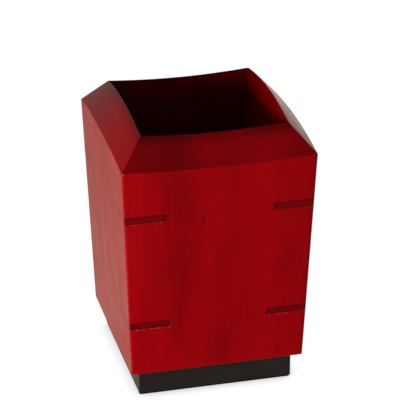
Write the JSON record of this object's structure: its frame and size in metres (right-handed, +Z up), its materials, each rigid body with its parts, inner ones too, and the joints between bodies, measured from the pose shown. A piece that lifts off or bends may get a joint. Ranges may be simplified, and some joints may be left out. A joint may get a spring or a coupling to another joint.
{
  "type": "pen cup",
  "caption": "Square stained-wood pen cup with leaning mitred walls keyed by splines, a bevelled rim and a recessed black plinth.",
  "frame": {"origin": "middle of the underside of the felt pad, where the cup meets the desk", "axes": "+Z up along the pen well; -Y is the front wall, whose rim sinks slightly in the middle; +X is the right wall"},
  "size_m": [0.0832, 0.0828, 0.1216],
  "materials": {
    "stained_wood": "deep red stain under satin-gloss lacquer, grain upright",
    "spline_wood": "darker red-brown stain under the same lacquer, grain along the spline",
    "floor_wood": "dark red stain, satin",
    "plinth_wood": "black satin paint",
    "screw_steel": "zinc-plated steel",
    "felt": "black wool felt"
  },
  "bodies": {
    "root": {"front_wall": "stained_wood", "right_wall": "stained_wood", "back_wall": "stained_wood", "left_wall": "stained_wood", "spline_front_right_upper": "spline_wood", "spline_front_right_lower": "spline_wood", "spline_back_right_upper": "spline_wood", "spline_back_right_lower": "spline_wood", "spline_back_left_upper": "spline_wood", "spline_back_left_lower": "spline_wood", "spline_front_left_upper": "spline_wood", "spline_front_left_lower": "spline_wood", "floor_panel": "floor_wood", "plinth": "plinth_wood", "plinth_screws": "screw_steel", "felt_pad": "felt"}
  },
  "joints": []
}
